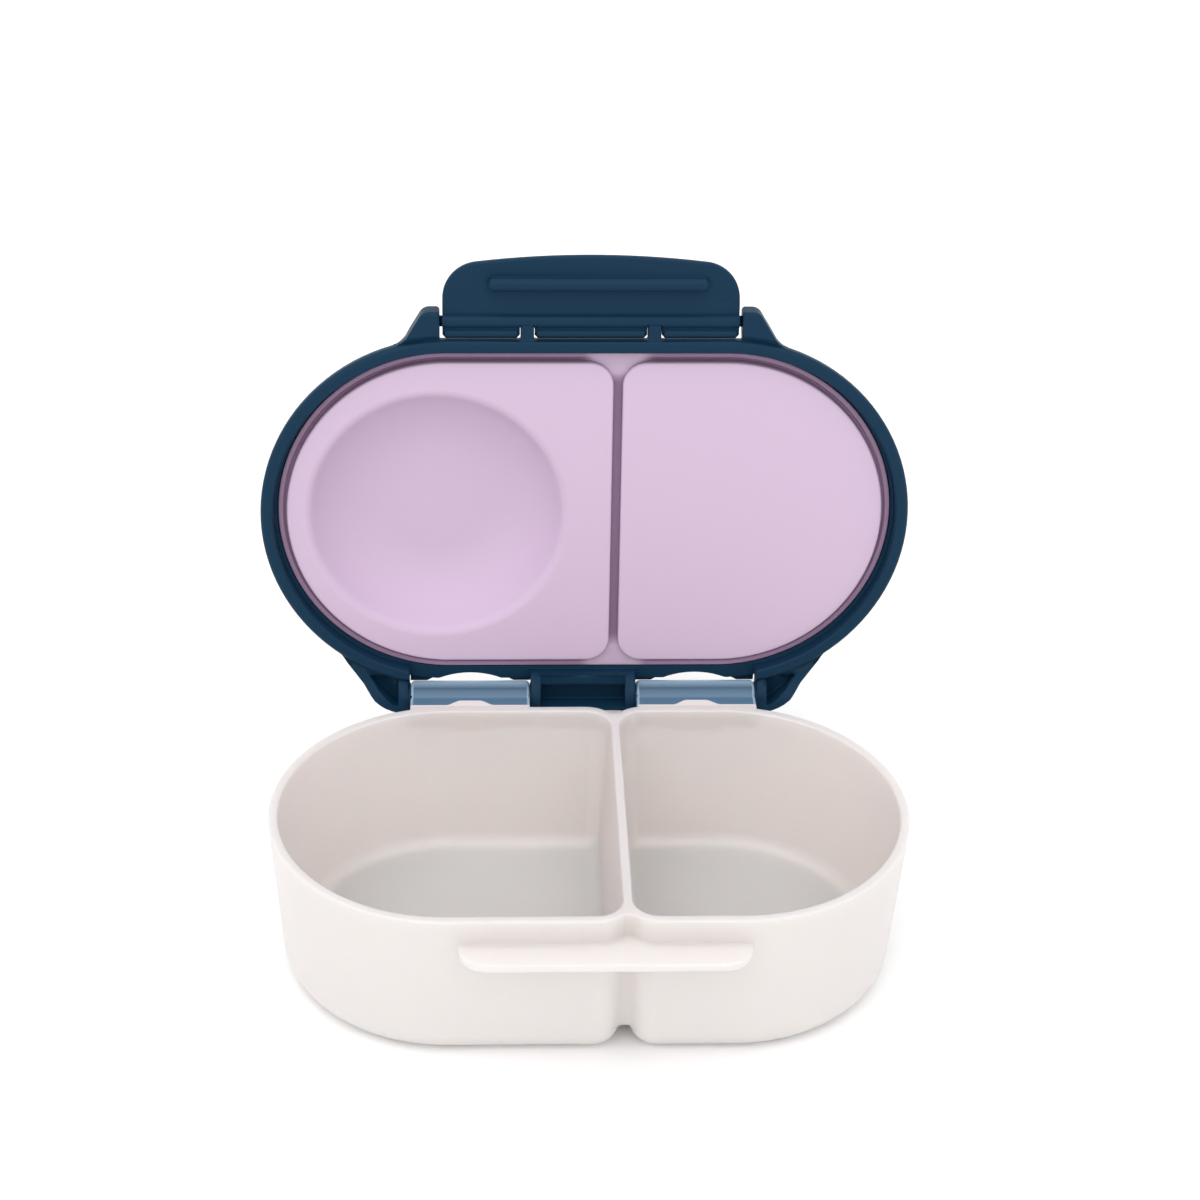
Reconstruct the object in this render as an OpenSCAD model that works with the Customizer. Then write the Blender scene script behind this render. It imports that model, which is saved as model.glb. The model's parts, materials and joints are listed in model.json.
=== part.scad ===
// Snack box for toddlers: a two-compartment tub, a hinged lid with a silicone
// seal that domes up over the left compartment, and a front latch.
// Origin on the resting plane under the middle of the tub.
// +X right, +Y towards the hinge, +Z up. The lid stands open on its stop.

/* [Tub] */
// Length of the tub at its rim
rim_l = 160; // [140:1:185]
// Depth of the tub at its rim, front to back
rim_d = 89; // [80:1:100]
// Height of the tub
tub_h = 44; // [40:1:60]
// Thickness of the tub's walls at the rim
wall = 2.4; // [1.8:0.1:3]
// Thickness of the tub's floor
floor_t = 2.4; // [1.6:0.1:3]
// How far the walls lean in from rim to foot
draft = 2.8; // [1:0.2:3]
// Radius that rounds the tub into its foot
foot_r = 6; // [4:0.5:6]
// Place of the divider, to the right of the middle
divider_x = 8; // [0:1:20]
// Thickness of the divider at the rim
divider_t = 2.2; // [1.8:0.1:3.5]
// Corner radius of the compartments beside the divider
corner_r = 6.5; // [4:0.5:9]
// Radius of the hollow in the outer walls at the divider
hollow_r = 2.8; // [1:0.2:5]

/* [Catch ledge] */
// Width of the ledge where it leaves the wall
ledge_w = 70; // [60:1:72]
// How far the ledge stands out from the rim line
ledge_out = 7.5; // [6.5:0.1:8]
// Thickness of the ledge
ledge_t = 2.2; // [1.6:0.1:3]
// Drop from the rim to the top of the ledge
ledge_drop = 7; // [6.5:0.1:9]
// Place of the ledge and of the catch rib, to the right of the middle
catch_x = 2.5; // [-2:0.5:3]

/* [Hinge] */
// Distance from the rim line back to the hinge axis
hinge_out = 7.9; // [7.6:0.1:9]
// Drop from the rim to the hinge axis
hinge_drop = 3.1; // [2.8:0.1:3.6]
// Place of each hinge tab from the middle
tab_x = 30; // [28:1:34]
// Width of a hinge tab
tab_w = 31.6; // [24:0.2:32]
// Outer radius of a hinge tab
tab_r = 5; // [4.6:0.1:5.6]
// Radius of the lid's hinge rods
rod_r = 2.6; // [2:0.1:2.8]
// How far the lid opens, in degrees
lid_open = 97.7; // [90:0.1:100]

/* [Lid] */
// How far the lid stands out beyond the rim, all round
lid_out = 3.9; // [3.4:0.1:5]
// How far the lid's skirt reaches below the rim
skirt_drop = 4; // [3:0.1:5]
// Thickness of the lid's top plate
plate_t = 1.9; // [1.5:0.1:3]
// Width between the latch ears
ear_gap = 76; // [74:1:80]
// Place of the latch and its ears, to the right of the middle
latch_x = 0.8; // [-1:0.1:1.5]
// How far the latch axis lies in front of the rim line
latch_out = 8.45; // [8.3:0.05:9]
// Drop from the rim to the latch axis
latch_drop = 1.4; // [1.2:0.1:2]

/* [Seal] */
// Thickness of the silicone
seal_t = 2; // [1.5:0.1:2.6]
// How far the seal's plugs reach into the compartments
plug_in = 1.4; // [1:0.1:3]
// Radius of the dish in the left plug
dish_r = 34.8; // [28:0.2:36]
// Depth of the dish
dish_depth = 13; // [8:0.5:18]

/* [Latch] */
// Gap between the latch flap and each ear
flap_gap = 0.7; // [0.3:0.1:4]
// Length of the flap from its axis to the middle of its curved edge
flap_l = 16.8; // [15:0.1:20]
// Thickness of the flap
flap_t = 1.8; // [1.4:0.1:2.4]
// Radius of the flap's corners
flap_corner = 9.5; // [6:0.5:12]
// Length of the catch rib
rib_w = 55; // [40:1:60]
// Radius of the barrel that the flap turns on
barrel_r = 1.7; // [1.3:0.1:1.8]

/* [Fits] */
// Radial clearance of a turning fit
run_fit = 0.05; // [0.02:0.01:0.1]
// Gap between faces that rest or close on each other
seat_gap = 0.3; // [0.2:0.05:0.5]
// Gap between a plug and the compartment's outer wall, which lets it swing in
plug_gap = 0.35; // [0.25:0.05:0.6]
// Gap between a plug and the divider
divider_gap = 0.1; // [0.05:0.05:0.4]

/* [Hidden] */

// Quality of the round surfaces
$fn = 64;
FAR = 200;    // reaches past the whole object

// Half sizes of the rim outline, a rectangle between two half circles
rim_r = rim_d / 2;
end_x = rim_l / 2 - rim_r;

// Hinge and latch axes with the lid shut
hinge_y = rim_r + hinge_out;
hinge_z = tub_h - hinge_drop;
latch_y = -(rim_r + latch_out);
latch_z = tub_h - latch_drop;

// Levels of the shut lid
skirt_z = tub_h - skirt_drop;
seat_z = tub_h + seat_gap;
plug_z = tub_h - plug_in;
seal_top = seat_z + seal_t;
plate_z = seal_top + seat_gap;
lid_top = plate_z + plate_t;

// Steps of the skirt's profile, outwards from the rim line
rim_pass = 0.6;
land_in = 0.3;
seal_in = land_in + 0.2;

// Rounding of the lid's section
ridge_in_r = 0.6;
ridge_r = 1.3;
top_r = min(6.5, lid_top - skirt_z - ridge_r - 0.1);

// Parts of the lid that carry the hinge rods
knuckle_r = rod_r + 0.3;
mid_w = 2 * (tab_x - tab_w / 2 - seat_gap);
ear_in = tab_x + tab_w / 2 + seat_gap;
mid_wall = 2.6;
foot_wall = 1.8;
rear_slope = 34;
rear_round = 11;
rear_pocket = [[3, -9.2], [3, -2.1], [4.6, -2.7], [8.2, -6.3], [10.7, -10.3]];
arch_r = 22;
arch_y = rim_r + 1.75;

// Catch ledge and the rib that hooks under it
ledge_z = tub_h - ledge_drop;
ledge_corner = 7;
rib_r = 1.8;
rib_reach = latch_z - (ledge_z - ledge_t) + seat_gap + rib_r;
rib_deep = 3;

// Dish in the left plug, which domes up through the lid
dish_x = -end_x - 3;
dish_slope = 60;
dish_edge_r = 3;
dish_ramp = 2;
dish_bowl_r = (dish_depth - dish_ramp * sin(dish_slope)) / (1 - cos(dish_slope)) - dish_edge_r;
dish_flat = dish_r - dish_ramp * cos(dish_slope) - (dish_edge_r + dish_bowl_r) * sin(dish_slope);
dome_hole_r = dish_r - 1;

// Latch posts, ears and rolls
post_x = 16;
post_w = 3.4;
pin_r = barrel_r - 0.3;
pin_l = 4;
roll_r = 1.25;
roll_back = barrel_r + roll_r + 0.25;
roll_gap = 0.15;
roll_taper = 0.85;
ear_tip = 3;
ear_round = 2.8;
ear_slope = 31.4;
flap_w = ear_gap - 2 * flap_gap;
flap_bow = 240;
ear_h = 6;
mark_r = 1.5;
mark_deep = 0.1;

// Stop rib that the open lid leans on
stop_w = mid_w - 2 * mid_wall - 1.2;
stop_y = hinge_y + knuckle_r * (cos(lid_open) - sin(lid_open)) - 0.08;
stop_z = skirt_z - seat_gap;
stop_t = 2.3;

// Buttress behind the rim at each hinge tab
buttress_w = 11.4;
buttress_out = 2.4;
buttress_h = 7;
buttress_r = (pow(buttress_w / 2, 2) + pow(buttress_out, 2)) / (2 * buttress_out);

// Lean of the tub's side at height z
function lean(z) = draft * (1 - z / tub_h);

// Line of a tub wall as [inset from the rim outline, height]: the rounded foot, then the
// leaning side. It is rounded to a micron, so that a corner's edge meets its neighbour's.
FOOT_STEPS = 6;
function micron(v) = round(v * 1000) / 1000;
function wall_line(off, z0, z1) = concat(
    [for (i = [0:FOOT_STEPS]) let (
        a = 90 * i / FOOT_STEPS,
        r = foot_r - off,
        z = micron(z0 + r * (1 - cos(a)))) [micron(off + lean(z) + r * (1 - sin(a))), z]],
    [[micron(off + lean(z1)), z1]]);

// The same line as the outline of a solid section that reaches size out from its axis
function section(size, off, z0, z1) = concat(
    [[0, z0]], [for (p = wall_line(off, z0, z1)) [max(size - p[0], 0.01), p[1]]], [[0, z1]]);

// A section and its mirror image, for a body with both walls
function both_sides(half) = concat(half, [for (i = [len(half) - 2:-1:1]) [-half[i][0], half[i][1]]]);

// Left compartment as a solid, grown inwards by off, from z0 to z1: a half-round
// end, a straight run, two rounded corners and the flat side at the divider
module compartment(off, face_x, z0, z1) {
    corner = corner_r + wall;
    turn_x = face_x - corner;
    turn_y = rim_r - corner;
    translate([-end_x, 0, 0])
        rotate([0, 0, 90])
            rotate_extrude(angle = 180) polygon(section(rim_r, off, z0, z1));
    translate([-end_x, 0, 0])
        rotate([90, 0, 90])
            linear_extrude(turn_x + end_x) polygon(both_sides(section(rim_r, off, z0, z1)));
    translate([turn_x, turn_y, 0])
        rotate([90, 0, 0])
            linear_extrude(2 * turn_y) polygon(section(corner, off, z0, z1));
    for (s = [0, 1])
        mirror([0, s, 0])
            translate([turn_x, turn_y, 0])
                rotate_extrude(angle = 90) polygon(section(corner, off, z0, z1));
}

// Outer faces of the compartments' walls at the divider, at the rim
face_left = divider_x - divider_t / 2 + wall;
face_right = divider_x + divider_t / 2 - wall;

module compartments(off, z0, z1) {
    compartment(off, face_left, z0, z1);
    mirror([1, 0, 0]) compartment(off, -face_right, z0, z1);
}

// Fills the cleft between the compartments, with a hollow at each end that runs
// smoothly into both corners
module divider_web() {
    low = foot_r;
    corner = corner_r + wall;
    turn_y = rim_r - corner;
    turn_gap = corner_r + divider_t / 2;
    reach = sqrt(pow(corner + hollow_r, 2) - pow(turn_gap, 2));
    low_corner = corner - lean(low);
    low_reach = sqrt(pow(low_corner + hollow_r, 2) - pow(turn_gap, 2));
    top_y = turn_y + reach * corner / (corner + hollow_r);
    low_y = turn_y + low_reach * low_corner / (low_corner + hollow_r);
    half = turn_gap * hollow_r / (low_corner + hollow_r);
    difference() {
        translate([divider_x - half, 0, 0])
            rotate([90, 0, 90])
                linear_extrude(2 * half)
                    polygon([[-low_y, low], [low_y, low], [top_y, tub_h], [-top_y, tub_h]]);
        for (s = [0, 1])
            mirror([0, s, 0])
                translate([divider_x, turn_y + low_reach, low])
                    rotate([-atan((reach - low_reach) / (tub_h - low)), 0, 0])
                        translate([0, 0, -FAR / 2]) cylinder(h = FAR, r = hollow_r);
    }
}

// Ledge along the front wall with rounded corners
module ledge() {
    front = rim_r + ledge_out;
    inner = ledge_w / 2 - ledge_corner;
    translate([catch_x, 0, ledge_z - ledge_t])
        linear_extrude(ledge_t) {
            translate([-ledge_w / 2, -front + ledge_corner]) square([ledge_w, ledge_out + wall]);
            translate([-inner, -front]) square([2 * inner, 2 * ledge_corner]);
            for (s = [-1, 1])
                translate([s * inner, -front + ledge_corner]) circle(ledge_corner);
        }
}

// Hinge tab: an arm from the rim, rolled round the lid's rod, open below to snap on
module hinge_tab() {
    arm_low = tab_r * 0.55;
    translate([-tab_w / 2, 0, 0])
        rotate([90, 0, 90])
            difference() {
                linear_extrude(tab_w) union() {
                    translate([hinge_y, hinge_z]) circle(tab_r);
                    translate([rim_r - wall, hinge_z - arm_low])
                        square([hinge_out + wall, hinge_drop + arm_low]);
                }
                translate([hinge_y, hinge_z, -1]) cylinder(h = tab_w + 2, r = rod_r + run_fit);
                translate([hinge_y - rod_r * 0.8, hinge_z - FAR, -1])
                    cube([rod_r * 1.6, FAR, tab_w + 2]);
            }
}

module buttress() {
    intersection() {
        translate([0, rim_r + buttress_out - buttress_r, tub_h - buttress_h])
            cylinder(h = buttress_h, r = buttress_r);
        translate([-buttress_w / 2, rim_r - wall, 0]) cube([buttress_w, FAR, FAR]);
    }
}

module base() {
    color("#e9e2e2")
        difference() {
            union() {
                compartments(0, 0, tub_h);
                divider_web();
                ledge();
                translate([-stop_w / 2, rim_r - wall, stop_z - stop_t])
                    cube([stop_w, stop_y - rim_r + wall, stop_t]);
                for (s = [-1, 1])
                    translate([s * tab_x, 0, 0]) {
                        hinge_tab();
                        buttress();
                    }
            }
            compartments(wall, floor_t, tub_h + 1);
        }
}

// Places a part of the shut lid where the open lid has it
module opened() {
    translate([0, hinge_y, hinge_z])
        rotate([-lid_open, 0, 0])
            translate([0, -hinge_y, -hinge_z])
                children();
}

// Body with round ends from a profile of [distance from the middle line, height] points
module oblong(profile) {
    for (s = [0, 1])
        mirror([s, 0, 0])
            translate([end_x, 0, 0])
                rotate([0, 0, -90])
                    rotate_extrude(angle = 180)
                        polygon(profile);
    both = concat(profile, [for (i = [len(profile) - 1:-1:0]) [-profile[i][0], profile[i][1]]]);
    translate([-end_x, 0, 0])
        rotate([90, 0, 90])
            linear_extrude(2 * end_x)
                polygon(both);
}

// Passage for the rim and the recess that the seal sits in
function inner_profile() = [
    [0, 0], [rim_r + rim_pass, 0], [rim_r + rim_pass, seat_z],
    [rim_r - land_in, seat_z], [rim_r - land_in, plate_z], [0, plate_z]];

// Points of an arc about [x, z] from angle a to angle b
function arc(x, z, r, a, b, steps = 6) =
    [for (i = [0:steps]) let (t = a + (b - a) * i / steps) [x + r * cos(t), z + r * sin(t)]];

// Outside of the lid: inner edge of the skirt, its rounded ridge, the side and the top edge
function outer_profile() = concat(
    [[0, skirt_z + ridge_in_r]],
    arc(rim_r + rim_pass + ridge_in_r, skirt_z + ridge_in_r, ridge_in_r, 180, 270),
    arc(rim_r + lid_out - ridge_r, skirt_z + ridge_r, ridge_r, 270, 360),
    arc(rim_r + lid_out - top_r, lid_top - top_r, top_r, 0, 90, 10),
    [[0, lid_top]]);

// Arc of radius r that runs an ear's flank into the lid's round end about the point
// middle. The flank's normal leans by slope, and reach is its distance from the origin.
EAR_SINK = 0.05;
function ear_fillet(slope, reach, middle, r) = let (
    across = [cos(slope), sin(slope)],
    along = [sin(slope), -cos(slope)],
    aside = reach + r - across * middle,
    back = sqrt(pow(rim_r + lid_out - EAR_SINK + r, 2) - pow(aside, 2)),
    c = middle + aside * across - back * along)
    arc(c[0], c[1], r, 180 + slope, 360 + atan2(middle[1] - c[1], middle[0] - c[0]));

// Outline of an ear from its inner edge out: a top of radius r about the point top, a
// flank and the fillet
function ear_outline(start, top, r, slope, middle, fillet_r) = let (
    reach = cos(slope) * top[0] + sin(slope) * top[1] + r,
    fillet = ear_fillet(slope, reach, middle, fillet_r))
    concat(start, arc(top[0], top[1], r, 90, slope), fillet,
        [[fillet[len(fillet) - 1][0], start[0][1]]]);

// Room for the section of an ear: it leaves the lid's side where that is upright and
// widens down to the height low and up past the ear's back
function ear_room(low) = let (side = rim_r + lid_out, root = skirt_z + ridge_r) [
    [0, root], [side, root], [side + 1.2 * (root - low), low], [FAR, low],
    [FAR, root + 5.6], [side + 4.2, root + 5.6], [side, root + 2.1], [0, root + 2.1]];

// Latch ear on the right (s = 1) or left (s = -1), with its inner top corner rounded
function front_ear(s) = ear_outline(
    concat([[0, -10]], arc(0.9, ear_tip - 0.9, 0.9, 180, 90)), [2.6, ear_tip - ear_round],
    ear_round, ear_slope, [end_x - ear_gap / 2 - s * latch_x, latch_y], 6);

// Latch ears with blind holes for the barrel's pins
module front_ears() {
    intersection() {
        oblong(ear_room(skirt_z));
        for (s = [0, 1])
            translate([latch_x, 0, 0])
                mirror([s, 0, 0])
                    translate([ear_gap / 2, latch_y, latch_z - ear_h / 2])
                        difference() {
                            mirror([0, 1, 0]) linear_extrude(ear_h) polygon(front_ear(1 - 2 * s));
                            translate([-1, 0, ear_h / 2])
                                rotate([0, 90, 0]) cylinder(h = pin_l + 1, r = pin_r + run_fit);
                        }
    }
}

// Posts that cradle the barrel from behind
module posts() {
    for (s = [-1, 1])
        translate([latch_x + s * post_x - post_w / 2, 0, 0])
            difference() {
                translate([0, latch_y, latch_z - barrel_r])
                    cube([post_w, latch_out - lid_out + 1, 2 * barrel_r]);
                translate([-1, latch_y, latch_z])
                    rotate([0, 90, 0]) cylinder(h = post_w + 2, r = barrel_r + run_fit);
            }
}

// Side view of the hinge carriers: square below the rod and sloped behind it. The side
// towards the rim is given by its points.
carrier_low = hinge_z - knuckle_r;
carrier_top = lid_top - 2.6;
module carrier(x0, x1, rim_side) {
    translate([x0, 0, 0])
        rotate([90, 0, 90])
            linear_extrude(x1 - x0)
                polygon(concat(rim_side, [[hinge_y + knuckle_r, carrier_low],
                    [hinge_y + knuckle_r, hinge_z + 1], [hinge_y - 0.5, carrier_top]]));
}

// Ears at the ends of the rods. Their faces rise from the skirt to the rod.
module rear_ears() {
    deep = hinge_out + knuckle_r + 16;
    flank = ear_outline([[0, -deep], [0, 0]], [1.1, -rear_round], rear_round, rear_slope,
        [end_x - ear_in, -hinge_y - knuckle_r], 10);
    for (s = [0, 1])
        mirror([s, 0, 0])
            intersection() {
                oblong(ear_room(carrier_low));
                carrier(ear_in, ear_in + FAR, [[0, carrier_top], [0, skirt_z + 0.3],
                    [rim_r + lid_out - 1, skirt_z + 0.3], [hinge_y - 1, carrier_low]]);
                translate([ear_in, hinge_y + knuckle_r, 0])
                    difference() {
                        linear_extrude(FAR) polygon(flank);
                        translate([0, 0, -1])
                            linear_extrude(lid_top - 5 + 1) polygon(rear_pocket);
                    }
            }
}

module mid_block() {
    difference() {
        carrier(-mid_w / 2, mid_w / 2, [[rim_r - 1, carrier_top], [rim_r - 1, carrier_low]]);
        translate([-mid_w / 2 + mid_wall, rim_r - 2, 0])
            cube([mid_w - 2 * mid_wall, hinge_out + knuckle_r + 2 - foot_wall, hinge_z + 2.6]);
    }
}

// Room in the rear skirt for a hinge tab to turn in, with a shallow arch above it
module tab_room() {
    half = ear_in - tab_x;
    translate([-half, hinge_y, hinge_z])
        rotate([0, 90, 0]) cylinder(h = 2 * half, r = tab_r + 0.4);
    translate([-half, rim_r - 2, 0]) cube([2 * half, hinge_out, seat_z]);
    intersection() {
        translate([0, arch_y + arch_r, 0]) cylinder(h = FAR, r = arch_r, $fn = 128);
        translate([-half, 0, 0]) cube([2 * half, FAR, FAR]);
    }
}

module shut_lid() {
    difference() {
        union() {
            oblong(outer_profile());
            front_ears();
            posts();
            rear_ears();
            mid_block();
        }
        oblong(inner_profile());
        // round opening that the seal's dome rises through
        translate([dish_x, 0, plate_z - 1]) cylinder(h = plate_t + 2, r = dome_hole_r);
        for (s = [-1, 1])
            translate([s * tab_x, 0, 0]) tab_room();
    }
    // hinge rods
    for (s = [0, 1])
        mirror([s, 0, 0])
            translate([mid_w / 2 - mid_wall / 2, hinge_y, hinge_z])
                rotate([0, 90, 0]) cylinder(h = ear_in - mid_w / 2 + mid_wall, r = rod_r);
}

module lid() { color("#1c3d54") opened() shut_lid(); }

// The half of a disc that points to -X
module half_disc(r) {
    intersection() {
        circle(r);
        translate([-FAR, -FAR]) square([FAR, 2 * FAR]);
    }
}

// Outline of a plug: a half circle at the far end and rounded corners at the divider
module plug_outline(inset, face_x) {
    r = corner_r - inset;
    half = rim_r - wall - inset;
    turn_x = face_x - inset - r;
    translate([-end_x, 0]) half_disc(half);
    translate([-end_x, -half]) square([turn_x + end_x, 2 * half]);
    translate([turn_x, -half + r]) square([r, 2 * (half - r)]);
    for (s = [0, 1])
        mirror([0, s])
            translate([turn_x, half - r])
                intersection() {
                    circle(r);
                    square(FAR);
                }
}

// Both plugs, or both pockets above them, between heights z0 and z1
module plugs(inset, z0, z1) {
    translate([0, 0, z0])
        linear_extrude(z1 - z0) {
            plug_outline(inset, face_left - wall + plug_gap - divider_gap);
            mirror([1, 0]) plug_outline(inset, -face_right - wall + plug_gap - divider_gap);
        }
}

// Line of the dish's wall, up from the plug's face and in to the middle, moved
// outwards by off: a rounded edge, a short ramp and a bowl
function dish_line(off) = concat(
    arc(dish_r, plug_z + dish_edge_r, dish_edge_r - off, 270, 270 - dish_slope),
    arc(dish_flat, plug_z + dish_depth - dish_bowl_r, dish_bowl_r + off, 90 - dish_slope, 90, 10),
    [[0, plug_z + dish_depth + off]]);

module dish() {
    outer = dish_line(seal_t);
    translate([dish_x, 0, 0])
        rotate_extrude($fn = 96)
            polygon(concat(dish_line(0), [for (i = [len(outer) - 1:-1:0]) outer[i]]));
}

module shut_seal() {
    difference() {
        union() {
            oblong([[0, seat_z], [rim_r - seal_in, seat_z], [rim_r - seal_in, seal_top], [0, seal_top]]);
            plugs(plug_gap, plug_z, seat_z + seal_t / 2);
        }
        plugs(plug_gap + seal_t, plug_z + seal_t, FAR);
        translate([dish_x, 0, 0]) cylinder(h = FAR, r = dish_r, $fn = 96);
    }
    dish();
}

module seal() { color("#d5bfd7") opened() shut_seal(); }

// Outline of the flap: its bowed free edge runs smoothly into the round corners
module flap_outline() {
    inner = flap_w / 2 - flap_corner;
    corner_y = flap_bow - flap_l - sqrt(pow(flap_bow - flap_corner, 2) - pow(inner, 2));
    join_x = inner * flap_bow / (flap_bow - flap_corner);
    root = 0.1;
    intersection() {
        translate([0, flap_bow - flap_l]) circle(flap_bow, $fn = 256);
        translate([-join_x, -flap_l]) square([2 * join_x, flap_l - root]);
    }
    translate([-flap_w / 2, corner_y]) square([flap_w, -corner_y - root]);
    for (s = [-1, 1])
        translate([s * inner, corner_y])
            intersection() {
                circle(flap_corner);
                translate([-flap_corner, -flap_corner]) square([2 * flap_corner, flap_corner]);
            }
}

// Bar along X from x0 to x1
module roll(x0, x1, r) {
    translate([x0, 0, 0]) rotate([0, 90, 0]) cylinder(h = x1 - x0, r = r);
}

// The same bar with tapered ends
module tapered_roll(x0, x1, r) {
    end_r = r - roll_taper;
    translate([x0, 0, 0])
        rotate([0, 90, 0])
            rotate_extrude()
                polygon([[0, 0], [end_r, 0], [r, roll_taper], [r, x1 - x0 - roll_taper],
                    [end_r, x1 - x0], [0, x1 - x0]]);
}

// Heel rolls between the posts and the ears, joined to the barrel
module heel(x0, x1) {
    translate([0, roll_back, 0]) tapered_roll(x0, x1, roll_r);
    translate([x0, 0, -0.5]) cube([x1 - x0, roll_back, 1]);
}

// The latch about its own axis, lying open in the plane of the lid
module open_latch() {
    near_post = post_x - post_w / 2 - roll_gap;
    far_post = post_x + post_w / 2 + roll_gap;
    pin_end = ear_gap / 2 + pin_l - seat_gap;
    difference() {
        linear_extrude(flap_t) flap_outline();
        // ejector marks
        for (s = [-1, 1])
            translate([s * (flap_w / 2 - 4), -flap_l * 0.4, -1])
                cylinder(h = 1 + mark_deep, r = mark_r);
    }
    roll(-flap_w / 2, flap_w / 2, barrel_r);
    roll(-pin_end, pin_end, pin_r);
    heel(-near_post, near_post);
    for (s = [0, 1])
        mirror([s, 0, 0]) heel(far_post, flap_w / 2);
    translate([catch_x - latch_x, -rib_reach, 0]) {
        translate([roll_taper - rib_w / 2, -rib_r, -rib_deep + rib_r])
            cube([rib_w - 2 * roll_taper, 2 * rib_r, rib_deep - rib_r + flap_t / 2]);
        translate([0, 0, -rib_deep + rib_r]) tapered_roll(-rib_w / 2, rib_w / 2, rib_r);
    }
}

module latch() {
    color("#1c3d54")
        opened()
            translate([latch_x, latch_y, latch_z])
                open_latch();
}

base();
lid();
seal();
latch();
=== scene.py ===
"""Looks of the snack box: a frosted tub, a navy lid and latch, and a lilac silicone seal.

Lengths in this file are millimetres, and MM turns them to metres. Shapes of the lid,
seal and latch are worked out with the lid shut, and opened() carries them to where
the open lid holds them.
"""

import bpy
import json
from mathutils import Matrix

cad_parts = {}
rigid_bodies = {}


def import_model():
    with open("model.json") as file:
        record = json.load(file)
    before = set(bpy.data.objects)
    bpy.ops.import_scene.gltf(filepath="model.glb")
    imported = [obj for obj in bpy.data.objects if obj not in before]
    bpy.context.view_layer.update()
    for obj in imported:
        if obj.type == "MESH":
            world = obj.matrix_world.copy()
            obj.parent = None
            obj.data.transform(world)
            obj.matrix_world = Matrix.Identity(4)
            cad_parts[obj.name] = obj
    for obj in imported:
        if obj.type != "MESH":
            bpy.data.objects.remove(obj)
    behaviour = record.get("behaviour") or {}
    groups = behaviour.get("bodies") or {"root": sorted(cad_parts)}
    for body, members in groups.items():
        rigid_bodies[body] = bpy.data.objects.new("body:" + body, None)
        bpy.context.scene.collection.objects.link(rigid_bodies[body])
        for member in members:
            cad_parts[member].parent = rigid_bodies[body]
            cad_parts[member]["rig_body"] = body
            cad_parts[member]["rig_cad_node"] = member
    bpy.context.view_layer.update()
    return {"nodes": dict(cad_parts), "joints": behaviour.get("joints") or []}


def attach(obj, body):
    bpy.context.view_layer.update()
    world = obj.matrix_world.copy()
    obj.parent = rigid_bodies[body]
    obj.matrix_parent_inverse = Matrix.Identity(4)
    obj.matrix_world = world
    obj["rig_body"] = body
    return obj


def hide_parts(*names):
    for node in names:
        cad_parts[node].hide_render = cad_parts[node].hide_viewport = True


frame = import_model()

import json
import math

import bmesh
import bpy
import numpy as np
from mathutils import Matrix, Vector

MM = 0.001
scene = bpy.context.scene
scene.view_settings.view_transform = "Standard"


# ---------------------------------------------------------------- colours and nodes

def srgb(code):
    """Linear RGBA of an sRGB hex colour."""
    parts = [int(code[i:i + 2], 16) / 255 for i in (1, 3, 5)]
    return [c / 12.92 if c <= 0.04045 else ((c + 0.055) / 1.055) ** 2.4 for c in parts] + [1.0]


def add(tree, kind, links=(), **settings):
    """Adds a node: settings named after its sockets or its properties, links as
    (socket of this node, other node, socket of the other node)."""
    node = tree.nodes.new(kind)
    for name, value in settings.items():
        socket = node.inputs.get(name.replace("_", " "))
        if socket is not None:
            socket.default_value = value
        else:
            setattr(node, name, value)
    for into, other, out in links:
        tree.links.new(other.outputs[out], node.inputs[into])
    return node


def material(name):
    """An empty node material and its tree."""
    mat = bpy.data.materials.new(name)
    mat.use_nodes = True
    mat.node_tree.nodes.clear()
    return mat, mat.node_tree


def moulded_grain(tree, spacing_mm, depth_mm, share=1.0):
    """Normal of an even, fine mould grain: bumps about spacing_mm apart."""
    place = add(tree, "ShaderNodeTexCoord")
    noise = add(tree, "ShaderNodeTexNoise", [("Vector", place, "Object")],
                Scale=1 / (spacing_mm * MM), Detail=2.0, Roughness=0.55)
    return add(tree, "ShaderNodeBump", [("Height", noise, "Fac")], Strength=share, Distance=depth_mm * MM)


# Injection-moulded polypropylene with no pigment, its mould lightly etched: milky, lets
# light through and blurs what is behind it
frosted_pp, tree = material("frosted_polypropylene")
grain = moulded_grain(tree, 0.9, 0.02, 0.5)
shader = add(tree, "ShaderNodeBsdfPrincipled", [("Normal", grain, "Normal")],
             Base_Color=srgb("#ede7e4"), Roughness=0.34, IOR=1.49, Transmission_Weight=0.25,
             Subsurface_Weight=1.0, Subsurface_Radius=(1, 0.86, 0.84), Subsurface_Scale=5 * MM)
add(tree, "ShaderNodeOutputMaterial", [("Surface", shader, "BSDF")])


def math_node(tree, operation, first, second=0.0):
    """One operation on two terms. A term is a number or a pair of a node and its output."""
    node = add(tree, "ShaderNodeMath", operation=operation)
    for socket, term in zip(node.inputs, (first, second)):
        if isinstance(term, tuple):
            tree.links.new(term[0].outputs[term[1]], socket)
        else:
            socket.default_value = term
    return node, "Value"


def fade(tree, term, start, end, low=0.0, high=1.0):
    """The term carried smoothly from low at start to high at end, and held beyond them."""
    node = add(tree, "ShaderNodeMapRange", [("Value", *term)], interpolation_type="SMOOTHSTEP",
               From_Min=start, From_Max=end, To_Min=low, To_Max=high)
    return node, "Result"


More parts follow.
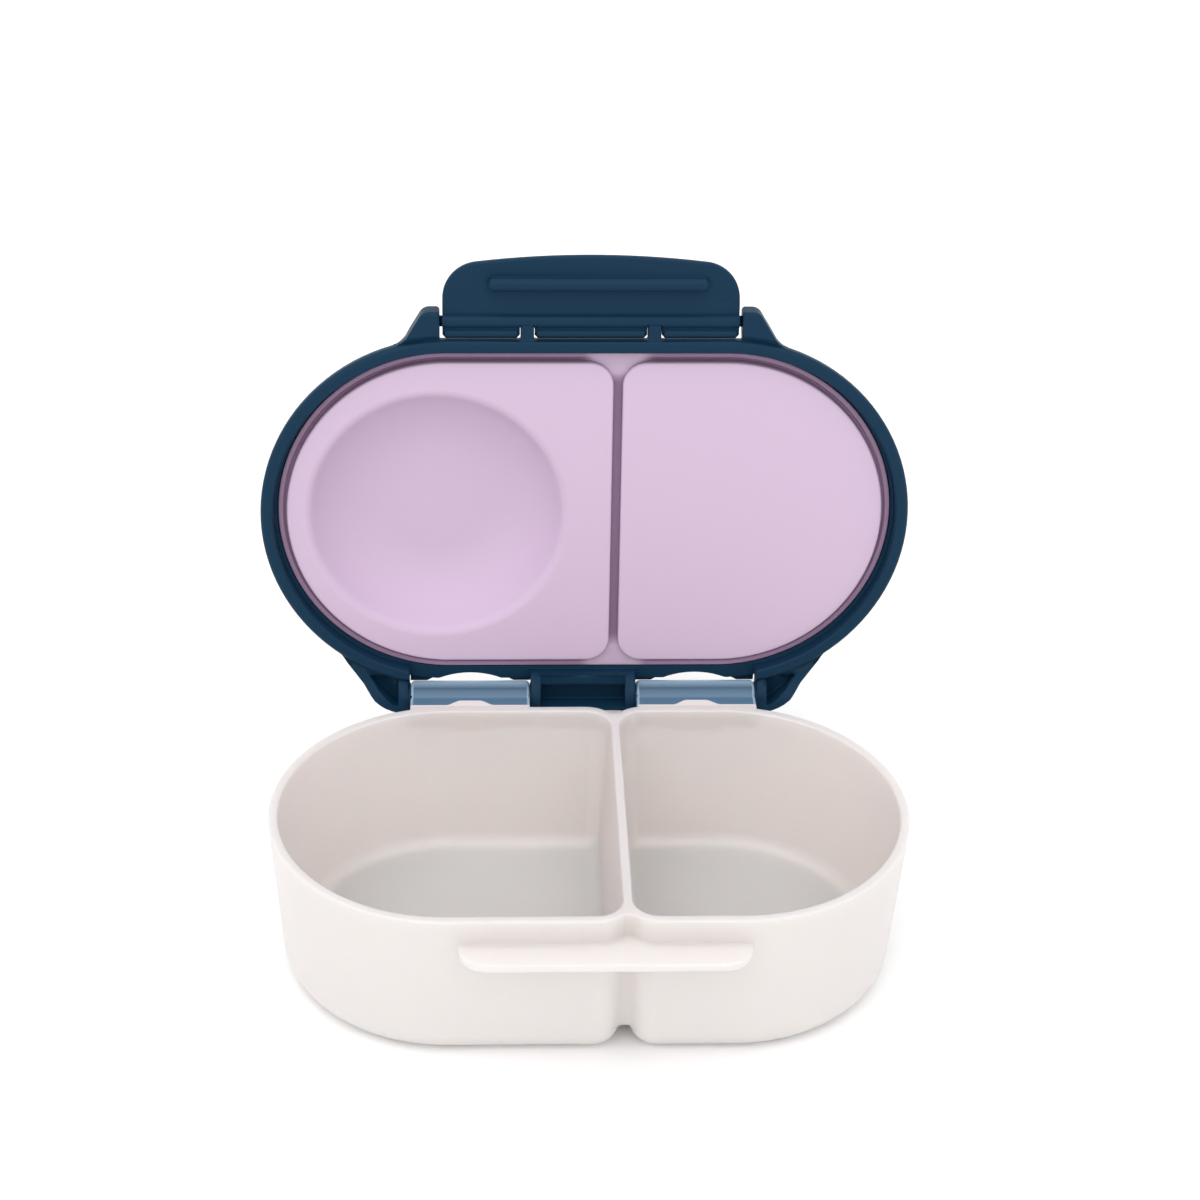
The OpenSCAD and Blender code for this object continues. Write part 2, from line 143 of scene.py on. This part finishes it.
# The same polypropylene where it is snapped round the lid's rods: the navy rod shows
# through as a steel blue, with a painted shadow along the rod's near flank and painted
# light beyond it. The tab's ends are lighter still with painted light, and the blue stops
# at the rim, which has a bump behind each tab.
TAB_X, TAB_HALF, TAB_START, TAB_END = 30, 15.8, 45.0, 57.4
BUMP_IN, BUMP_HALF, BUMP_OUT = 2.4, 6.4, 2.1
rod_pp_with_painted_shade, tree = material("frosted_polypropylene_on_rod_with_painted_shade")
grain = moulded_grain(tree, 0.9, 0.02, 0.5)
place = add(tree, "ShaderNodeTexCoord")
xyz = add(tree, "ShaderNodeSeparateXYZ", [("Vector", place, "Object")])
from_middle = math_node(tree, "ABSOLUTE", (xyz, "X"))
from_tab = math_node(tree, "SUBTRACT", from_middle, TAB_X * MM)
aside = math_node(tree, "ABSOLUTE", from_tab)
bump = fade(tree, aside, BUMP_IN * MM, BUMP_HALF * MM, BUMP_OUT * MM, 0.0)
behind = math_node(tree, "SUBTRACT", (xyz, "Y"), bump)
share = fade(tree, behind, TAB_START * MM, (TAB_START + 0.3) * MM)
at_end = fade(tree, aside, (TAB_HALF - 0.9) * MM, (TAB_HALF - 0.5) * MM)
along = add(tree, "ShaderNodeMapRange", [("Value", xyz, "Y")],
            From_Min=TAB_START * MM, From_Max=TAB_END * MM)
tone_with_painted_shade = add(tree, "ShaderNodeValToRGB", [("Fac", along, "Result")])
# Plastic over the arm, a painted shadow along the rod's near flank, and painted light on the plastic beyond
# the rod
painted_rod_shading_steps = [(0.3, "#50708a"), (0.45, "#38566c"), (0.66, "#98b4c8")]
while len(tone_with_painted_shade.color_ramp.elements) < len(painted_rod_shading_steps):
    tone_with_painted_shade.color_ramp.elements.new(0.5)
for stop, (where, colour) in zip(tone_with_painted_shade.color_ramp.elements, painted_rod_shading_steps):
    stop.position, stop.color = where, srgb(colour)
# Painted light: the tab's ends are made lighter still
tone_with_painted_shade = add(tree, "ShaderNodeMix", [("Factor", *at_end), ("A", tone_with_painted_shade, "Color")],
           data_type="RGBA", B=srgb("#93aec2"))
mix = add(tree, "ShaderNodeMix", [("Factor", *share), ("B", tone_with_painted_shade, "Result")],
          data_type="RGBA", A=srgb("#e2dcda"))
shader = add(tree, "ShaderNodeBsdfPrincipled", [("Normal", grain, "Normal"), ("Base Color", mix, "Result")],
             Roughness=0.3, IOR=1.49, Specular_IOR_Level=0.4)
add(tree, "ShaderNodeOutputMaterial", [("Surface", shader, "BSDF")])

# Injection-moulded polypropylene, navy masterbatch, satin from a fine spark-eroded mould
navy_pp, tree = material("navy_polypropylene")
grain = moulded_grain(tree, 0.45, 0.012, 0.6)
shader = add(tree, "ShaderNodeBsdfPrincipled", [("Normal", grain, "Normal")],
             Base_Color=srgb("#0f3047"), Roughness=0.45, IOR=1.49, Specular_IOR_Level=0.12)
add(tree, "ShaderNodeOutputMaterial", [("Surface", shader, "BSDF")])

# Compression-moulded food-grade silicone, pigmented lilac: matte, slightly soft in the
# light, with a painted shade, a deeper tone, down in the gutters where the light hardly gets in
lilac_silicone, tree = material("lilac_silicone")
grain = moulded_grain(tree, 0.6, 0.015, 0.5)
# Amount of painted shade, kept on the seal's points
depth = add(tree, "ShaderNodeAttribute", attribute_name="recess")
tone_with_painted_shade = add(tree, "ShaderNodeMix", [("Factor", depth, "Fac")], data_type="RGBA",
           A=srgb("#cbb5cd"), B=srgb("#9c819d"))
shader = add(tree, "ShaderNodeBsdfPrincipled", [("Normal", grain, "Normal"), ("Base Color", tone_with_painted_shade, "Result")],
             Roughness=0.62, IOR=1.42, Specular_IOR_Level=0.3)
add(tree, "ShaderNodeOutputMaterial", [("Surface", shader, "BSDF")])


# ---------------------------------------------------------------- shapes

HINGE = np.array(frame["joints"][0]["pos_m"]) / MM
LID_OPEN = math.radians(frame["joints"][0]["range_deg"][1])


def opened(points):
    """Turns points of the shut lid about the hinge to where the open lid has them."""
    y, z = points[..., 1] - HINGE[1], points[..., 2] - HINGE[2]
    c, s = math.cos(LID_OPEN), math.sin(LID_OPEN)
    return np.stack([points[..., 0], HINGE[1] + c * y + s * z, HINGE[2] - s * y + c * z], axis=-1)


def shut(point):
    """A point of the open lid, in metres, where the shut lid has it."""
    y, z = point[1] / MM - HINGE[1], point[2] / MM - HINGE[2]
    c, s = math.cos(LID_OPEN), math.sin(LID_OPEN)
    return point[0] / MM, HINGE[1] + c * y - s * z, HINGE[2] + s * y + c * z


def arc(x, y, r, start, end, count):
    """Points of an arc about (x, y) from start to end degrees, and their normals."""
    t = np.radians(np.linspace(start, end, count))
    normal = np.stack([np.cos(t), np.sin(t)], axis=1)
    return np.array([x, y]) + r * normal, normal


def straight(p, q, normal, count):
    """Points between p and q without their ends, and their normals."""
    t = np.linspace(0, 1, count + 2)[1:-1, None]
    return np.array(p) * (1 - t) + np.array(q) * t, np.tile(np.array(normal, float), (count, 1))


def outline(*runs):
    """Joins runs into one closed outline: points and outward normals, counter-clockwise."""
    return np.concatenate([r[0] for r in runs]), np.concatenate([r[1] for r in runs])


def inset(line, depth):
    """The outline moved in by depth, along its normals."""
    return line[0] - depth * line[1]


def level(line, depth, z):
    """The outline moved in by depth, at height z."""
    flat = inset(line, depth)
    return np.column_stack([flat, np.full(len(flat), z)])


def skin(name, loops, ends="poles", shade=None):
    """Closed surface through loops of equal length: each loop is joined to the next.
    With "poles" the first and last loops are closed to their middle points, and with
    "ring" the last loop is joined to the first. shade, an amount of painted shade, is kept on the points as
    the attribute that the lilac material reads."""
    loops = opened(np.stack(loops)) * MM
    rows, count = loops.shape[:2]
    verts = loops.reshape(-1, 3)
    i = np.arange(count)
    j = (i + 1) % count
    low = np.arange(rows if ends == "ring" else rows - 1)[:, None]
    high = (low + 1) % rows
    quads = np.stack([low * count + i, low * count + j, high * count + j, high * count + i], axis=-1)
    faces = quads.reshape(-1, 4).tolist()
    if ends == "poles":
        top = rows * count
        verts = np.vstack([verts, loops[0].mean(0), loops[-1].mean(0)])
        first = np.stack([np.full(count, top), j, i], axis=1)
        last = np.stack([np.full(count, top + 1), (rows - 1) * count + i, (rows - 1) * count + j], axis=1)
        faces += first.tolist() + last.tolist()
    mesh = bpy.data.meshes.new(name)
    mesh.from_pydata(verts.tolist(), [], faces)
    mesh.polygons.foreach_set("use_smooth", [True] * len(mesh.polygons))
    if shade is not None:
        values = np.zeros(len(verts))
        values[:rows * count] = shade.ravel()
        values[rows * count:] = [shade[0].mean(), shade[-1].mean()][:len(verts) - rows * count]
        mesh.attributes.new("recess", "FLOAT", "POINT").data.foreach_set("value", values)
    piece = bpy.data.objects.new(name, mesh)
    scene.collection.objects.link(piece)
    return piece


# ---------------------------------------------------------------- pieces

def finish_piece(piece, mat, body, nodes):
    """Gives a piece its material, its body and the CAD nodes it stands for."""
    piece.data.materials.clear()
    piece.data.materials.append(mat)
    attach(piece, body)
    if nodes:
        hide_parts(*nodes)
    return piece


SHARP = math.radians(32)


def moulded_copy(node, name, rounding_mm, widest_mm, cut=None):
    """Copy of a CAD solid with its flat faces joined up and its sharp edges rounded:
    rounding_mm gives the width of each, up to widest_mm. cut is a plane along which its
    faces are split."""
    mesh = frame["nodes"][node].data.copy()
    mesh.name = name
    piece = bpy.data.objects.new(name, mesh)
    scene.collection.objects.link(piece)
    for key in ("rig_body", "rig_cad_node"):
        if key in piece:
            del piece[key]
    bm = bmesh.new()
    bm.from_mesh(mesh)
    bmesh.ops.remove_doubles(bm, verts=bm.verts, dist=0.002 * MM)
    bmesh.ops.dissolve_limit(bm, angle_limit=math.radians(0.7), verts=bm.verts, edges=bm.edges)
    if cut:
        bmesh.ops.bisect_plane(bm, geom=bm.verts[:] + bm.edges[:] + bm.faces[:],
                               plane_co=cut[0], plane_no=cut[1])
    weight = bm.edges.layers.float.new("bevel_weight_edge")
    for edge in bm.edges:
        if len(edge.link_faces) == 2 and edge.calc_face_angle(0) > SHARP:
            edge[weight] = rounding_mm(edge) / widest_mm
    bm.to_mesh(mesh)
    bm.free()
    mesh.polygons.foreach_set("use_smooth", [True] * len(mesh.polygons))
    rounding = piece.modifiers.new("rounding", "BEVEL")
    rounding.width = widest_mm * MM
    rounding.segments = 3
    rounding.limit_method = "WEIGHT"
    rounding.use_clamp_overlap = False
    rounding.harden_normals = True
    # Large flat faces keep their own shading where small round ones meet them
    even = piece.modifiers.new("even_shading", "WEIGHTED_NORMAL")
    even.mode, even.weight, even.keep_sharp = "FACE_AREA", 85, True
    return piece


def tub_rounding(edge):
    """1.1 mm round the ends of the hinge tabs' rolls, and 0.45 mm elsewhere."""
    ends = [v.co / MM for v in edge.verts]
    at_end = all(abs(abs(abs(x) - TAB_X) - TAB_HALF) < 0.05 for x, _, _ in ends)
    on_roll = all(y > 49 and math.hypot(y - HINGE[1], z - HINGE[2]) > 4.5 for _, y, z in ends)
    return 1.1 if at_end and on_roll else 0.45


# Radius of the lid's side, and where its round ends turn
SIDE, END_X = 48.4, 35.5
SKIRT_Z, EAR_START, THIN_X = 40.0, -50.1, 42
# Foot of the pocket between the hinges
POCKET_X, POCKET_Y, POCKET_Z = 11.3, (44, 47), 41


def lid_rounding(edge):
    """0.8 mm round the faces of the latch ears, nothing where the ears and the hinge
    carriers thin out along the lid's side or at the foot of the pocket between the
    hinges, and 0.35 mm elsewhere."""
    ends = [shut(v.co) for v in edge.verts]
    if all(y < EAR_START and abs(z - SKIRT_Z) < 0.03 for _, y, z in ends):
        return 0.8
    thin = any(abs(x) > THIN_X and abs(math.hypot(abs(x) - END_X, y) - SIDE) < 1 for x, y, _ in ends)
    in_pocket = any(abs(abs(x) - POCKET_X) < 0.6 and POCKET_Y[0] < y < POCKET_Y[1] and z < POCKET_Z
                    for x, y, z in ends)
    return 0.0 if thin or in_pocket else 0.35


LATCH_X, FLAP_Z, FLAP_START = 0.8, 42.6, -55.5
MARK_X, MARK_Y, MARK_R = 33.3, -59.67, 1.5
# Where the catch rib's ends begin to thin out, how far they run, and across them
RIB_X, RIB_END, RIB_RUN, RIB_Y = 2.5, 26.65, 6, (-65.0, -60.5)
HEEL_START, BARREL_END = -51.6, 37.1


def off_latch(x):
    """Distance from the middle of the latch."""
    return abs(x - LATCH_X)


def latch_rounding(edge):
    """0.7 mm round the face of the flap, 0.25 mm elsewhere, and nothing round its ejector
    marks, on the heel rolls, at the barrel's ends and where the catch rib's ends thin
    out: those are too small to round."""
    ends = [shut(v.co) for v in edge.verts]
    at_mark = all(math.hypot(off_latch(x) - MARK_X, y - MARK_Y) < MARK_R + 0.3 for x, y, _ in ends)
    at_rib_end = any(-0.3 < abs(x - RIB_X) - RIB_END < RIB_RUN and RIB_Y[0] < y < RIB_Y[1]
                     for x, y, _ in ends)
    on_heel = any(y > HEEL_START for _, y, _ in ends)
    at_barrel_end = any(abs(off_latch(x) - BARREL_END) < 1 and y > FLAP_START for x, y, _ in ends)
    if at_mark or at_rib_end or on_heel or at_barrel_end:
        return 0.0
    on_face = all(abs(z - FLAP_Z) < 0.03 and y < FLAP_START for _, y, z in ends)
    return 0.7 if on_face and edge.is_convex else 0.25


# The tub's faces are cut along this plane, so that the tabs can have their own material
TAB_CUT = TAB_START - 0.3
tub = moulded_copy("base", "tub", tub_rounding, 1.1, ((0, TAB_CUT * MM, 0), (0, 1, 0)))
finish_piece(tub, frosted_pp, "base", ["base"])
tub.data.materials.append(rod_pp_with_painted_shade)
middles = np.array([face.center for face in tub.data.polygons]) / MM
on_tab = (middles[:, 1] > TAB_CUT) & (np.abs(np.abs(middles[:, 0]) - TAB_X) < TAB_HALF + 0.1)
tub.data.polygons.foreach_set("material_index", on_tab.astype(np.int32))
lid = moulded_copy("lid", "lid_shell", lid_rounding, 0.8)
finish_piece(lid, navy_pp, "lid", ["lid"])

# The seal: a sheet with a gutter and an outer lip, and a plug over each compartment
RIM_R = 44.5
SHEET_Z, SHEET_BACK_Z = 45.4, 46.3
FACE_Z, EDGE_R = 42.6, 0.6
PLUG_R, PLUG_CORNER = 41.75, 6.15
DISH_X, DISH_R, DISH_DEPTH, DISH_SLOPE = -38.5, 34.8, 13.0, math.radians(60)
DISH_EDGE, DISH_RAMP, SILICONE = 3.0, 2.0, 2.0
LEFT_FACE_X, RIGHT_FACE_X = 6.8, -9.2
LIP_Z, GUTTER_DEEP = 44.24, 1.3
# The channel between the plugs: its middle, where it opens out, half its width there,
# and over how much it fades
CHANNEL_X, CHANNEL_END, CHANNEL_HALF, CHANNEL_FADE = 8.0, 35.5, 9, 3
# Share of the painted shade taken away where the channel opens out
OPEN_END_LIGHTER = 0.85


def plug_outline(face_x):
    """Half circle at the left end, straight sides and rounded corners at face_x."""
    turn_x, turn_y = face_x - PLUG_CORNER, PLUG_R - PLUG_CORNER
    return outline(
        arc(turn_x, turn_y, PLUG_CORNER, 0, 90, 28),
        straight((turn_x, PLUG_R), (-END_X, PLUG_R), (0, 1), 60),
        arc(-END_X, 0, PLUG_R, 90, 270, 150),
        straight((-END_X, -PLUG_R), (turn_x, -PLUG_R), (0, -1), 60),
        arc(turn_x, -turn_y, PLUG_CORNER, 270, 360, 28),
        straight((face_x, -turn_y), (face_x, turn_y), (1, 0), 60))


def oblong(radius):
    """Rectangle between two half circles."""
    return outline(
        arc(END_X, 0, radius, -90, 90, 150), straight((END_X, radius), (-END_X, radius), (0, 1), 60),
        arc(-END_X, 0, radius, 90, 270, 150), straight((-END_X, -radius), (END_X, -radius), (0, -1), 60))


def rays(line, centre):
    """Unit directions from centre to the points of an outline."""
    away = line[0] - np.array(centre)
    return away / np.linalg.norm(away, axis=1, keepdims=True)


def circle_level(directions, centre, radius, z):
    """The circle about centre, sampled in the given directions, at height z."""
    flat = np.array(centre) + radius * directions
    return np.column_stack([flat, np.full(len(flat), z)])


def between(first, last, count):
    """Loops that lead evenly from first to last, without both."""
    return [first * (1 - t) + last * t for t in np.linspace(0, 1, count + 2)[1:-1]]


def plug_edge(line):
    """Loops over the rounded edge of a plug and down its side into the sheet."""
    turn = np.linspace(0, math.pi / 2, 7)
    over = [level(line, EDGE_R * (1 - math.sin(t)), FACE_Z + EDGE_R * (1 - math.cos(t))) for t in turn]
    return over + [level(line, -0.05, SHEET_Z - 0.4), level(line, -0.1, SHEET_Z + 0.5)]


def recess(loops):
    """The amount of painted shade at each point: how far it lies behind the plugs' faces,
    from 0 at their edge to 1 from the lip's level on."""
    return np.clip((np.stack(loops)[:, :, 2] - FACE_Z - EDGE_R / 2) / GUTTER_DEEP, 0, 1)


def dish_wall(offset):
    """Radius and height of the dish's wall from its edge in to the middle: a rounded
    edge, a short ramp and a bowl, moved outwards by offset."""
    bowl = (DISH_DEPTH - DISH_RAMP * math.sin(DISH_SLOPE)) / (1 - math.cos(DISH_SLOPE)) - DISH_EDGE
    flat = DISH_R - DISH_RAMP * math.cos(DISH_SLOPE) - (DISH_EDGE + bowl) * math.sin(DISH_SLOPE)
    t = np.linspace(0, DISH_SLOPE, 14)
    edge = np.stack([DISH_R - (DISH_EDGE - offset) * np.sin(t),
                     FACE_Z + DISH_EDGE - (DISH_EDGE - offset) * np.cos(t)], axis=1)
    t = np.linspace(DISH_SLOPE, 0, 30)
    cup = np.stack([flat + (bowl + offset) * np.sin(t),
                    FACE_Z + DISH_DEPTH - bowl + (bowl + offset) * np.cos(t)], axis=1)
    middle = np.stack([np.linspace(flat, 0.4, 8)[1:], np.full(7, FACE_Z + DISH_DEPTH + offset)], axis=1)
    return np.concatenate([edge, cup, middle])


def dish_plug():
    """Left plug: dish, flat face round it, edge, side, back and the dome behind the dish."""
    line = plug_outline(LEFT_FACE_X)
    centre = (DISH_X, 0)
    ray = rays(line, centre)
    front = [circle_level(ray, centre, r, z) for r, z in dish_wall(0)[::-1]]
    face = between(front[-1], level(line, EDGE_R, FACE_Z), 10)
    edge = plug_edge(line)
    dome = [circle_level(ray, centre, r, z) for r, z in dish_wall(SILICONE) if z > SHEET_Z + 0.5]
    back = between(edge[-1], circle_level(ray, centre, dish_wall(SILICONE)[12][0], SHEET_Z + 0.5), 4)
    loops = front + face + edge + back + dome
    shade = recess(loops)
    shade[:len(front)] = 0
    shade[-len(dome):] = 0
    return skin("dish_plug", loops, shade=shade)


def flat_plug():
    """Right plug: flat face, edge, side and back."""
    line = plug_outline(RIGHT_FACE_X)
    line = (line[0] * [-1, 1])[::-1], (line[1] * [-1, 1])[::-1]
    centre = (40.0, 0.0)
    ray = rays(line, centre)
    core = circle_level(ray, centre, 0.4, FACE_Z)
    edge = plug_edge(line)
    back = core + [0, 0, SHEET_Z + 0.5 - FACE_Z]
    loops = [core] + between(core, edge[0], 14) + edge + between(edge[-1], back, 3) + [back]
    return skin("flat_plug", loops, shade=recess(loops))


def seal_sheet():
    """Sheet of the seal: from the dish's wall out over the gutter to the lip, and back.
    Where the channel between the plugs opens out at its ends, the front is filled up to
    the lip's level and most of its painted shade is taken away, so that it is as light as the plugs."""
    rim = oblong(RIM_R)
    centre = (DISH_X, 0)
    ray = rays(rim, centre)
    hole = DISH_R - 2.2
    section = [(3.3, 45.4), (2.4, 45.3), (2.1, 45.1), (1.9, 44.75), (1.78, 44.45), (1.6, 44.3), (1.3, 44.25),
               (0.8, LIP_Z), (0.62, 44.3), (0.52, 44.45), (0.5, 44.8), (0.5, 46.15), (0.62, 46.3)]
    front = circle_level(ray, centre, hole, SHEET_Z)
    edge = [level(rim, d, z) for d, z in section]
    back = circle_level(ray, centre, hole, SHEET_BACK_Z)
    inner = [front] + between(front, edge[0], 26)
    loops = np.stack(inner + edge + between(edge[-1], back, 6) + [back])
    across, along = np.abs(loops[:, :, 0] - CHANNEL_X), np.abs(loops[:, :, 1])
    open_end = np.clip((along - CHANNEL_END) / CHANNEL_FADE, 0, 1)
    open_end *= np.clip((CHANNEL_HALF - across) / CHANNEL_FADE, 0, 1)
    shade = recess(loops) * (1 - OPEN_END_LIGHTER * open_end)
    filled = slice(0, len(inner) + [z for _, z in section].index(LIP_Z) + 1)
    height = loops[filled, :, 2]
    loops[filled, :, 2] = height - np.maximum(height - LIP_Z, 0) * open_end[filled]
    return skin("seal_sheet", loops, "ring", shade=shade)


finish_piece(seal_sheet(), lilac_silicone, "lid", ["seal"])
finish_piece(dish_plug(), lilac_silicone, "lid", [])
finish_piece(flat_plug(), lilac_silicone, "lid", [])

# The lid beside the arches over the tabs: the arch's near edge and radius, how far out
# the shoulders reach, and the radius, height and flank of their section
ARCH_Y, ARCH_R, SHOULDER_Y = 46.25, 22.0, 49.4
NOSE_R, NOSE_Z = 0.55, 46.4
FLANK = np.array([(45.6, 46.9), (46.3, 44.9)])


def hinge_shoulder(name, left, right, middle):
    """Shoulder of the lid beside the arch over a hinge tab: a rounded bar along the tab
    between left and right, whose edge follows the arch about middle and then runs
    straight."""
    x = np.linspace(left, right, 24)[:, None]
    reach = ARCH_Y + ARCH_R - np.sqrt(ARCH_R ** 2 - (x - middle) ** 2) - 0.1
    reach = np.minimum(reach, SHOULDER_Y)
    t = np.radians(np.linspace(-70, 90, 9))
    nose = reach + NOSE_R * (np.cos(t) - 1)
    y = np.hstack([nose, np.tile(FLANK[:, 0], (len(x), 1))])
    z = np.tile(np.concatenate([NOSE_R * np.sin(t) + NOSE_Z, FLANK[:, 1]]), (len(x), 1))
    return skin(name, list(np.stack([np.tile(x, (1, y.shape[1])), y, z], axis=-1)))


for side, name in ((-1, "left"), (1, "right")):
    for place, (near, far) in (("inner", (-16.0, -9.3)), ("outer", (9.3, 16.0))):
        middle = side * TAB_X
        reach = sorted((middle + side * near, middle + side * far))
        shoulder = hinge_shoulder(f"hinge_shoulder_{name}_{place}", *reach, middle)
        finish_piece(shoulder, navy_pp, "lid", [])

COLLAR_R, COLLAR_T, CHAMFER, COLLAR_GAP = 4.5, 0.4, 0.12, 0.07
ROUND_TURN = np.radians(np.arange(0, 360, 7.5))


def hinge_collar(name, inner, outer):
    """Thin collar round the hinge rod between a tab and its carrier: a disc turned about
    the hinge from inner to outer, with a small chamfer at the tab."""
    step = CHAMFER * np.sign(outer - inner)
    loops = []
    for x, r in ((inner, COLLAR_R - CHAMFER), (inner + step, COLLAR_R), (outer, COLLAR_R)):
        loops.append(np.column_stack([np.full(len(ROUND_TURN), x), HINGE[1] + r * np.cos(ROUND_TURN),
                                      HINGE[2] + r * np.sin(ROUND_TURN)]))
    return skin(name, loops if outer > inner else loops[::-1])


for side, name in ((-1, "left"), (1, "right")):
    for out, place in ((-1, "inner"), (1, "outer")):
        face = side * (TAB_X + out * (TAB_HALF + COLLAR_GAP))
        collar = hinge_collar(f"hinge_collar_{name}_{place}", face, face + side * out * COLLAR_T)
        finish_piece(collar, navy_pp, "lid", [])

latch = moulded_copy("latch", "latch_flap", latch_rounding, 0.7)
finish_piece(latch, navy_pp, "latch", ["latch"])


# ---------------------------------------------------------------- stage, light and camera

def flat_mesh(name, corners):
    """One flat face."""
    mesh = bpy.data.meshes.new(name)
    mesh.from_pydata(corners, [], [list(range(len(corners)))])
    piece = bpy.data.objects.new(name, mesh)
    scene.collection.objects.link(piece)
    return piece


floor = flat_mesh("floor", [(-4, -4, 0), (4, -4, 0), (4, 4, 0), (-4, 4, 0)])
white_floor, tree = material("matte_white_floor")
shader = add(tree, "ShaderNodeBsdfPrincipled", Base_Color=srgb("#fafafa"), Roughness=0.9)
add(tree, "ShaderNodeOutputMaterial", [("Surface", shader, "BSDF")])
floor.data.materials.append(white_floor)

world = bpy.data.worlds.new("studio")
world.use_nodes = True
world.node_tree.nodes["Background"].inputs["Color"].default_value = (1, 1, 1, 1)
world.node_tree.nodes["Background"].inputs["Strength"].default_value = 1.0
scene.world = world

# A wide overhead diffuser: its light comes from above and a little from the front left
lamp = bpy.data.lights.new("overhead_diffuser", "SUN")
lamp.energy = 1.15
lamp.angle = math.radians(70)
overhead = bpy.data.objects.new("overhead_diffuser", lamp)
scene.collection.objects.link(overhead)
overhead.rotation_euler = Vector((0.15, 0.45, -1)).to_track_quat("-Z", "Y").to_euler()

# Camera: azimuth 0 looks along +Y
AZIMUTH, ELEVATION, ROLL = math.radians(-1.84), math.radians(32.54), math.radians(0.87)
DISTANCE, FOCUS_PX = 609.25, 2568.5
AIM = np.array([-8.37, 0.0, 103.37])
AXIS_PX = (558.9, 607.4)
back = np.array([math.sin(AZIMUTH) * math.cos(ELEVATION),
                 -math.cos(AZIMUTH) * math.cos(ELEVATION), math.sin(ELEVATION)])
right = np.array([math.cos(AZIMUTH), math.sin(AZIMUTH), 0.0])
up = np.cross(back, right)
right, up = (right * math.cos(ROLL) + up * math.sin(ROLL),
             up * math.cos(ROLL) - right * math.sin(ROLL))
lens = bpy.data.cameras.new("camera")
lens.sensor_width = 36
lens.lens = FOCUS_PX / 1200 * 36
lens.shift_x = (600 - AXIS_PX[0]) / 1200
lens.shift_y = (AXIS_PX[1] - 600) / 1200
lens.clip_start = 0.01
camera = bpy.data.objects.new("camera", lens)
scene.collection.objects.link(camera)
spot = (AIM + back * DISTANCE) * MM
camera.matrix_world = Matrix((
    (right[0], up[0], back[0], spot[0]),
    (right[1], up[1], back[1], spot[1]),
    (right[2], up[2], back[2], spot[2]),
    (0, 0, 0, 1)))
scene.camera = camera
